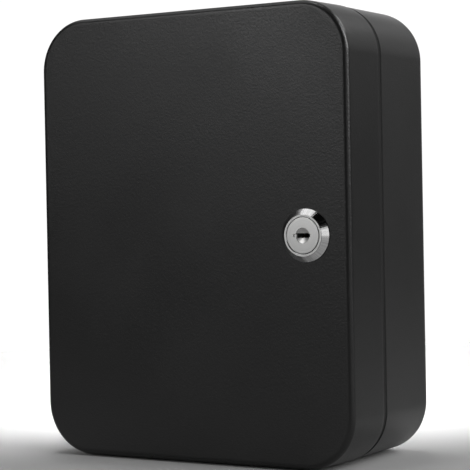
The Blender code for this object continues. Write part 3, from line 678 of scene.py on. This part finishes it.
def makeNumberStrip(name, placeX, placeY, level, facing, firstNumber, body, replaced):
    size = strips
    half = rails["length"] / 2 - size["margin"]
    top = level + rails["height"] - size["margin"]
    back = placeY + facing * (rails["thickness"] + size["seat"])
    front = back + facing * size["thickness"]
    strip = addBox(name, (placeX - half, min(back, front), top - size["height"]),
                   (placeX + half, max(back, front), top))
    startEdit(strip)
    pick(strip, "EDGE", isUpright)
    roundOff(size["corner"], 5)
    breakEdges(strip, size["edgeBreak"])
    dressPiece(strip, stripPlastic, body, replaced)
    strip.data.materials.append(printInk)
    lineLow, lineHigh = [top - size["height"] * share for share in lineShares]
    inks = []
    for number in range(hookCount):
        # the numbers run from the left as the strip is read
        x = placeX - facing * (number - (hookCount - 1) / 2) * rails["pitch"]
        inks.append(addInk(str(firstNumber + number), (x, front, top - size["height"] / 2), facing))
        if number:
            lineX = x + facing * rails["pitch"] / 2
            inks.append(addBox("divider", (lineX - size["line"] / 2, front - size["ink"], lineLow),
                               (lineX + size["line"] / 2, front + size["ink"], lineHigh)))
    for ink in inks:
        cleanMesh(ink)
        ink.data.materials.clear()
        ink.data.materials.append(printInk)
    deselectAll()
    for piece in inks + [strip]:
        piece.select_set(True)
    bpy.context.view_layer.objects.active = strip
    bpy.ops.object.join()


rows = [
    # home, middle across, sheet's back, way that the hooks point, body, first number
    ("body", 0, rails["bodyY"], -1, "cabinet", 1),
    ("door", rails["doorX"], rails["doorY"], 1, "door", 11),
]
for home, placeX, placeY, facing, body, firstNumber in rows:
    makeHookRail(home + "RailUpper", placeX, placeY, facing, body, home + "_hook_rail")
for home, placeX, placeY, facing, body, firstNumber in rows:
    makeNumberStrip(home + "NumbersUpper", placeX, placeY, rails["upper"], facing, firstNumber, body,
                    home + "_number_strip_upper")
    makeNumberStrip(home + "NumbersLower", placeX, placeY, lowerLevel, facing, firstNumber + hookCount, body,
                    home + "_number_strip_lower")
print("hook rails and number strips ready")


# lock: distances along its axis count from the door's front, and inwards is positive

lock = inMetres({
    "faceY": -3.1, "seat": 0.1, "head": 11.3, "headTop": 8.95, "headRim": 0.4, "headEdge": 0.12, "lip": 0.35,
    "faceBore": 7.95, "bore": 6.6, "barrel": 9.4, "neckEnd": 0.9, "threadStart": 1.0, "threadDepth": 0.55,
    "pitch": 1.0, "crest": 0.06, "flat": 8.0, "flatStart": -0.05, "flatEnd": 30, "flatWide": 15,
    "barrelEnd": 25, "face": 7.7, "faceEdge": 0.2, "facet": 0.06, "coreStart": -1.7, "coreGap": 0.3,
    "core": 6.3, "tail": 4.9, "tailFlat": 3.7, "tailEnd": 27.2, "over": 0.01, "beyond": 1, "far": 10,
})
flatShare = 1.1             # of the head's radius, how far out the barrel's flats are cut
waferCount = 5


def fromAxis(vert):
    return math.hypot(vert.co.x - lockAxis.x, vert.co.z - lockAxis.z)


def makeLockHousing():
    size = lock
    faceY, edge, pitch, end = size["faceY"], size["headEdge"], size["pitch"], size["barrelEnd"]
    top, head, inner, seat = size["headTop"], size["head"], size["faceBore"], -size["seat"]
    barrel, root = size["barrel"], size["barrel"] - size["threadDepth"]
    boreStart = size["coreStart"] + size["coreGap"]
    points = [(inner, faceY + edge), (inner + edge, faceY), (top - edge, faceY), (top, faceY + edge),
              (top, faceY + size["lip"]), (head, seat - size["headRim"]), (head, seat), (root, seat),
              (root, size["neckEnd"])]
    y = size["threadStart"]
    while y + pitch < end:
        crest = y + pitch / 2
        points += [(barrel, crest - size["crest"]), (barrel, crest + size["crest"]), (root, y + pitch)]
        y += pitch
    points += [(root, end), (size["bore"], end), (size["bore"], boreStart), (inner, boreStart)]
    housing = spinProfile("lockHousing", points, lockAxis, closed=True)
    for side in (-1, 1):
        left, right = sorted((side * size["flat"], side * head * flatShare))
        cutAway(housing, lockBox("flatCutter", (left, size["flatStart"], -size["flatWide"]),
                                 (right, size["flatEnd"], size["flatWide"])))
    dressPiece(housing, chrome, "door", "lock_housing", smooth=24)
    # the flat land round the core is lapped satin, and the bores are painted dark grey as painted shade
    paintFaces(housing, satinNickel, lambda f: all(near(v.co.y, lockAxis.y + faceY) for v in f.verts))
    paintFaces(housing, castZincGapShade, lambda f: all(fromAxis(v) < inner + size["over"] for v in f.verts))


def makeLockWasher():
    size = inMetres({"inner": 9.7, "outer": 12.6, "start": 1.1, "end": 1.9, "edge": 0.12})
    inner, outer, start, end, edge = size.values()
    points = [(inner, start), (outer - edge, start), (outer, start + edge), (outer, end - edge),
              (outer - edge, end), (inner, end)]
    washer = spinProfile("lockWasher", points, lockAxis, steps=72, closed=True)
    dressPiece(washer, zincPlate, "door", "lock_washer")


def makeLockNut():
    size = inMetres({"flats": 24, "start": 2.0, "end": 6.5, "inner": 9.7, "chamfer": 0.8, "reach": 3,
                     "over": 1, "edgeBreak": 0.12})
    flats, start, end, inner, chamfer, reach, over, edgeBreak = size.values()
    deselectAll()
    bpy.ops.mesh.primitive_cylinder_add(
        vertices=6, radius=flats / 2 / math.cos(math.pi / 6), depth=end - start,
        location=lockAxis + Vector((0, (start + end) / 2, 0)), rotation=(math.pi / 2, 0, 0))
    nut = bpy.context.object
    nut.name = "lockNut"
    bpy.ops.object.transform_apply(location=True, rotation=True, scale=True)
    # a cone of 30 degrees takes the corners off the nut's back
    top, steep = flats / 2 - chamfer / 2, math.tan(math.pi / 6)
    points = [(0, start - over), (top + reach, start - over), (top + reach, end - reach * steep),
              (top - over, end + over * steep), (0, end + over * steep)]
    keepInside(nut, spinProfile("chamferCone", points, lockAxis))
    cutAway(nut, addRod("nutBore", lockAxis, inner, start - over, end + over, 72))
    breakEdges(nut, edgeBreak, angle=25)
    dressPiece(nut, zincPlate, "door", "lock_nut")


def makeLockCore():
    size = lock
    faceY, edge, facet, far = size["faceY"], size["faceEdge"], size["facet"], size["far"]
    face, start, end, tailEnd = size["face"], size["coreStart"], size["barrelEnd"], size["tailEnd"]
    points = [(0, faceY), (face - edge, faceY), (face - facet, faceY + facet), (face, faceY + edge),
              (face, start), (size["core"], start), (size["core"], end), (size["tail"], end),
              (size["tail"], tailEnd), (0, tailEnd)]
    core = spinProfile("lockCore", points, lockAxis)
    key = inMetres({"circle": 3.3, "circleDepth": 1.0, "slotX": 3.1, "slotZ": 1.0, "slotDepth": 22,
                    "notchX": 4.6, "notchZ": 0.8, "notchDepth": 0.6, "notchSlope": 0.64, "over": 2})
    above = faceY - key["over"]
    cutAway(core, addRod("keyholeCutter", lockAxis, key["circle"], above, faceY + key["circleDepth"], 64))
    x, z = key["notchX"], key["notchZ"]
    notch = lockBox("notchCutter", (-x, above, -z), (x, faceY + key["notchDepth"], z))
    startEdit(notch)
    pick(notch, "EDGE", isUpright)
    roundOff(key["notchSlope"], 1)
    cutAway(core, notch)
    x, z = key["slotX"], key["slotZ"]
    cutAway(core, lockBox("slotCutter", (-x, above, -z), (x, faceY + key["slotDepth"], z)))
    for across in (Vector((1, 0, 0)), Vector((0, 0, 1))):
        other = Vector((across.z, 0, across.x))
        for side in (-1, 1):
            a = lockAxis + across * side * size["tailFlat"] - other * far + Vector((0, end + size["over"], 0))
            b = lockAxis + across * side * far + other * far + Vector((0, tailEnd + size["beyond"], 0))
            cutAway(core, addBox("tailCutter", map(min, a, b), map(max, a, b)))
    wafer = inMetres({"first": 7, "pitch": 3.2, "half": 0.7, "halfWidth": 4.6, "halfHeight": 8.3})
    first, pitch, half, halfWidth, halfHeight = wafer.values()
    for number in range(waferCount):
        y = faceY + first + pitch * number
        cutAway(core, lockBox("waferCutter", (-halfWidth, y - half, -halfHeight),
                              (halfWidth, y + half, halfHeight)))
    hole = inMetres({"radius": 2.3, "start": 21.3, "end": 29})
    cutAway(core, addRod("screwHole", lockAxis, hole["radius"], hole["start"], hole["end"], 32))
    breakEdges(core, facet, segments=1)
    dressPiece(core, satinNickel, "lock_barrel", "lock_core", smooth=24)
    # the side of the head is painted dark grey as painted shade, so the gap round it looks dark
    paintFaces(core, castZincGapShade, lambda f: all(fromAxis(v) > face - size["over"] for v in f.verts))


def makeShutters():
    # the two flaps of the dust shutter slope down to the key slot like a funnel
    size = inMetres({"outer": 3.2, "inner": 1.2, "front": -2.85, "bottom": -2.2, "thickness": 0.25,
                     "slot": 1.0, "far": 10})
    outer, inner, front, bottom, thickness, slot, far = size.values()
    points = [(outer, front), (inner, bottom), (inner, bottom + thickness), (outer, bottom + thickness)]
    for name, side, replaced in (("shutterUpper", 1, "shutter_upper"), ("shutterLower", -1, "shutter_lower")):
        flap = spinProfile(name, points, lockAxis, steps=64, closed=True)
        low, high = sorted((side * slot, side * far))
        keepInside(flap, lockBox("halfKeeper", (-far, -far, low), (far, far, high)))
        # the flaps' darker nickel is painted shade for the keyway's recess
        dressPiece(flap, flapNickelPaintedShade, "lock_barrel", replaced, smooth=30)


def makeCam():
    # a strip with a crank in it, round at the lock and narrower at its tip
    size = inMetres({"start": 25.3, "thickness": 2.0, "half": 5.5, "headRound": 5.39, "crankStart": 6.3,
                     "crankEnd": 8.3, "crank": 2.6, "reach": 17, "taper": 1.5, "tipCorner": 1.2,
                     "edgeBreak": 0.25})
    (start, thickness, half, headRound, crankStart, crankEnd, crank, reach, taper, tipCorner,
     edgeBreak) = size.values()
    midY = lockAxis.y + start + thickness / 2
    fold, tip = lockAxis.z - crankStart, lockAxis.z - reach
    cam = addSheet("lockCam", (math.pi / 2, 0, 0), (2 * half, 1, half + crankStart),
                   (lockAxis.x, midY, lockAxis.z + (half - crankStart) / 2))
    pick(cam, "EDGE", lambda e: all(near(v.co.z, fold) for v in e.verts))
    for step in ((0, crank, crankStart - crankEnd), (0, 0, crankEnd - reach + taper), (0, 0, -taper)):
        bpy.ops.mesh.extrude_region_move(TRANSFORM_OT_translate={"value": step})
    bpy.ops.transform.resize(value=(1 - taper / half, 1, 1), center_override=(lockAxis.x, midY, tip))
    pick(cam, "VERT", lambda v: near(v.co.z, lockAxis.z + half))
    roundOff(headRound, 12, "VERTICES")
    pick(cam, "VERT", lambda v: near(v.co.z, tip))
    roundOff(tipCorner, 5, "VERTICES")
    giveThickness(cam, thickness)
    hole = inMetres({"radius": 5.2, "start": 20, "end": 30, "flat": 4, "behind": 50})
    flat = hole["flat"]
    cutter = addRod("camHole", lockAxis, hole["radius"], hole["start"], hole["end"], 48)
    keepInside(cutter, lockBox("flats", (-flat, 0, -flat), (flat, hole["behind"], flat)))
    cutAway(cam, cutter)
    breakEdges(cam, edgeBreak)
    dressPiece(cam, zincPlate, "lock_barrel", "lock_cam")


def makeCamScrew():
    size = inMetres({"tip": 21.6, "under": 28.2, "top": 30.2, "shank": 2.0, "head": 4.2, "dome": 1.1,
                     "slotDepth": 1.0, "slotHalf": 0.55, "far": 8, "over": 2, "edgeBreak": 0.08})
    tip, under, top, shank, head, dome, slotDepth, slotHalf, far, over, edgeBreak = size.values()
    points = [(0, tip), (shank, tip), (shank, under), (head, under)]
    points += roundCorner((head - dome, top - dome), dome, 8) + [(0, top)]
    screw = spinProfile("camScrew", points, lockAxis, steps=64)
    cutAway(screw, lockBox("slotCutter", (-far, top - slotDepth, -slotHalf), (far, top + over, slotHalf)))
    breakEdges(screw, edgeBreak)
    dressPiece(screw, zincPlate, "lock_barrel", "cam_screw")


def makeSpringWasher():
    # split at one side, as spring washers are
    size = inMetres({"inner": 2.3, "outer": 4.0, "start": 27.4, "end": 28.1, "splitHalf": 0.3, "far": 8,
                     "over": 1, "edgeBreak": 0.08})
    inner, outer, start, end, splitHalf, far, over, edgeBreak = size.values()
    points = [(inner, start), (outer, start), (outer, end), (inner, end)]
    washer = spinProfile("camSpringWasher", points, lockAxis, steps=48, closed=True)
    cutAway(washer, lockBox("splitCutter", (0, start - over, -splitHalf), (far, end + over, splitHalf)))
    breakEdges(washer, edgeBreak)
    dressPiece(washer, springSteel, "lock_barrel", "cam_spring_washer")


makeLockHousing()
makeLockWasher()
makeLockNut()
makeLockCore()
makeShutters()
makeCam()
makeCamScrew()
makeSpringWasher()
# the closed lock hides the wafers, so they keep their CAD shape and get brass
for number in range(1, waferCount + 1):
    wafer = nodes[f"lock_wafer_{number}"]
    wafer.data.materials.clear()
    wafer.data.materials.append(brass)
print("lock ready")


# studio: floor, backdrop, soft lights, black cards and the camera

studio = {
    "floorLevel": -0.1003, "floorSize": 6.0, "fadeForward": 0.45, "fadeFrom": 0.75, "fadeTo": 1.15,
    "paintedShadeFront": "#9c9c9c", "paintedLightBehind": "#f2f2f2", "shadeFrom": -0.07, "shadeTo": 0.08,
    "paleMiddle": -0.03, "paleTo": 0.12, "paleFrom": 0.18, "paleFan": 0.2,
    "backdropLight": 1.06, "roomLight": 0.07, "glowFrom": 0.7, "glowTo": 0.975,
}
viewWay = Vector((-0.515, 0.857, 0.0))      # the way that the main view looks, level with the floor
acrossView = Vector((0.857, 0.515, 0.0))
cabinetMiddle = Vector((0, -0.05, 0))       # what the lights and the cards face
softStep = {"interpolation_type": "SMOOTHSTEP"}


def makeFloor():
    # paper sweep with painted light and shade: painted pale behind the cabinet like a pool of light, painted
    # grey as shade in front and beside it, and fading into the backdrop
    deselectAll()
    bpy.ops.mesh.primitive_plane_add(size=studio["floorSize"], location=(0, 0, studio["floorLevel"]))
    floor = bpy.context.object
    floor.name = "studioFloor"
    material, shader = newMaterial("paperPaintedLightAndShade", Roughness=0.9, Specular_IOR_Level=0.2)
    place = addNode(material, "ShaderNodeTexCoord")
    along = addNode(material, "ShaderNodeVectorMath", {"operation": "DOT_PRODUCT"}, {1: viewWay},
                    [(0, place, "Object")])
    shade = addNode(material, "ShaderNodeMapRange", softStep,
                    {"From Min": studio["shadeFrom"], "From Max": studio["shadeTo"]},
                    [("Value", along, "Value")])
    across = addNode(material, "ShaderNodeVectorMath", {"operation": "DOT_PRODUCT"}, {1: acrossView},
                     [(0, place, "Object")])
    aside = addNode(material, "ShaderNodeMath", {"operation": "SUBTRACT"}, {1: studio["paleMiddle"]},
                    [(0, across, "Value")])
    offset = addNode(material, "ShaderNodeMath", {"operation": "ABSOLUTE"}, links=[(0, aside, "Value")])
    fan = addNode(material, "ShaderNodeMath", {"operation": "MULTIPLY_ADD"}, {1: -studio["paleFan"]},
                  [(0, along, "Value"), (2, offset, "Value")])
    strip = addNode(material, "ShaderNodeMapRange", softStep,
                    {"From Min": studio["paleTo"], "From Max": studio["paleFrom"], "To Min": 1, "To Max": 0},
                    [("Value", fan, "Value")])
    pale = addNode(material, "ShaderNodeMath", {"operation": "MULTIPLY"},
                   links=[(0, shade, "Result"), (1, strip, "Result")])
    # painted shade in front of and beside the cabinet, painted light behind it
    colour = addNode(material, "ShaderNodeMix", {"data_type": "RGBA"},
                     {"A": hexColour(studio["paintedShadeFront"]), "B": hexColour(studio["paintedLightBehind"])},
                     [("Factor", pale, "Value")])
    wire(material, colour, "Result", shader, "Base Color")
    centred = addNode(material, "ShaderNodeVectorMath", {"operation": "ADD"},
                      {1: viewWay * studio["fadeForward"]}, [(0, place, "Object")])
    reach = addNode(material, "ShaderNodeVectorMath", {"operation": "LENGTH"}, links=[(0, centred, "Vector")])
    fade = addNode(material, "ShaderNodeMapRange", softStep,
                   {"From Min": studio["fadeFrom"], "From Max": studio["fadeTo"]},
                   [("Value", reach, "Value")])
    clear = addNode(material, "ShaderNodeBsdfTransparent")
    mixed = addNode(material, "ShaderNodeMixShader",
                    links=[(0, fade, "Result"), (1, shader, "BSDF"), (2, clear, "BSDF")])
    wire(material, mixed, "Shader", material.node_tree.nodes["Material Output"], "Surface")
    floor.data.materials.append(material)


def makeWorld():
    # bright backdrop behind the cabinet, seen by every ray alike, in a dim room
    world = bpy.data.worlds.new("studioWorld")
    bpy.context.scene.world = world
    world.use_nodes = True
    background = world.node_tree.nodes["Background"]
    background.inputs["Color"].default_value = (1, 1, 1, 1)
    place = addNode(world, "ShaderNodeTexCoord")
    along = addNode(world, "ShaderNodeVectorMath", {"operation": "DOT_PRODUCT"}, {1: viewWay},
                    [(0, place, "Generated")])
    glow = addNode(world, "ShaderNodeMapRange", softStep,
                   {"From Min": studio["glowFrom"], "From Max": studio["glowTo"],
                    "To Min": studio["roomLight"], "To Max": studio["backdropLight"]},
                   [("Value", along, "Value")])
    wire(world, glow, "Result", background, "Strength")


def faceCabinet(obj, azimuth, elevation, distance):
    # azimuth 0 is in front of the door and 90 is on its right
    a, e = math.radians(azimuth), math.radians(elevation)
    away = Vector((math.sin(a) * math.cos(e), -math.cos(a) * math.cos(e), math.sin(e)))
    obj.location = cabinetMiddle + away * distance
    obj.rotation_euler = (-away).to_track_quat("-Z", "Y").to_euler()
    obj.visible_camera = False


def addAreaLight(name, width, height, watts):
    light = bpy.data.lights.new(name, "AREA")
    light.shape = "RECTANGLE"
    light.size, light.size_y = width, height
    light.energy = watts
    lamp = bpy.data.objects.new(name, light)
    bpy.context.scene.collection.objects.link(lamp)
    return lamp


def addBackdropLight():
    # lights the paper behind the cabinet, from above and out of view, and not the cabinet
    size = {"behind": 0.37, "height": 0.7, "width": 0.22, "length": 0.76, "watts": 0.8, "spread": 32}
    lamp = addAreaLight("backdropLight", size["width"], size["length"], size["watts"])
    lamp.data.spread = math.radians(size["spread"])
    lamp.location = (viewWay * size["behind"] + acrossView * studio["paleMiddle"]
                     + Vector((0, 0, studio["floorLevel"] + size["height"])))
    lamp.rotation_euler = (0, 0, math.atan2(-viewWay.x, viewWay.y))
    lamp.visible_camera = False


def addBlackCard(name, azimuth, elevation, distance, width, height):
    # black cards give the polished ring its dark bands, as in a studio
    deselectAll()
    bpy.ops.mesh.primitive_plane_add(size=1)
    card = bpy.context.object
    card.name = name
    card.scale = (width, height, 1)
    faceCabinet(card, azimuth, elevation, distance)
    material, shader = newMaterial("blackCardMatt", Roughness=1.0, Specular_IOR_Level=0.0)
    shader.inputs["Base Color"].default_value = hexColour("#0a0a0a")
    card.data.materials.append(material)


softboxes = [
    # name, azimuth, elevation, distance, width, height, watts
    ("keyLeft", -24, 20, 2.2, 0.8, 0.8, 10.2),
    ("topLeft", -74, 67, 2.2, 1.7, 1.7, 9.5),
    ("lowRight", 56, 9, 2.2, 0.5, 1.04, 1.5),
    ("highRight", 87, 30, 2.2, 0.8, 1.4, 37.0),
    ("midRight", 100, 14, 2.2, 0.7, 0.5, 4.4),
    ("backRight", 149, 21, 2.2, 0.8, 1.0, 1.3),
    ("backHigh", 140, 45, 2.2, 1.0, 0.8, 13.0),
]
blackCards = [
    # name, azimuth, elevation, distance, width, height
    ("cardBehindCamera", 24, 5, 2.6, 1.7, 1.6),
    ("cardAbove", 32, 49, 2.6, 2.6, 2.4),
    ("cardLeft", -118, 5, 2.6, 1.4, 2.2),
]


def makeCamera():
    # fitted to the photograph's outline, seam and lock
    view = {"sensor": 36, "lens": 128.98, "shiftX": -0.0009, "shiftY": -0.0133, "nearest": 0.05,
            "farthest": 50, "place": (0.40016, -0.70041, 0.01299), "turn": (89.2229, 1.0689, 31.1005)}
    data = bpy.data.cameras.new("photoCamera")
    data.sensor_width, data.lens = view["sensor"], view["lens"]
    data.shift_x, data.shift_y = view["shiftX"], view["shiftY"]
    data.clip_start, data.clip_end = view["nearest"], view["farthest"]
    camera = bpy.data.objects.new("photoCamera", data)
    bpy.context.scene.collection.objects.link(camera)
    camera.location = view["place"]
    camera.rotation_euler = Euler([math.radians(angle) for angle in view["turn"]])
    bpy.context.scene.camera = camera


makeFloor()
makeWorld()
for name, azimuth, elevation, distance, *sizes in softboxes:
    faceCabinet(addAreaLight(name, *sizes), azimuth, elevation, distance)
addBackdropLight()
for card in blackCards:
    addBlackCard(*card)
makeCamera()
bpy.context.scene.view_settings.view_transform = "Standard"
print("studio ready")
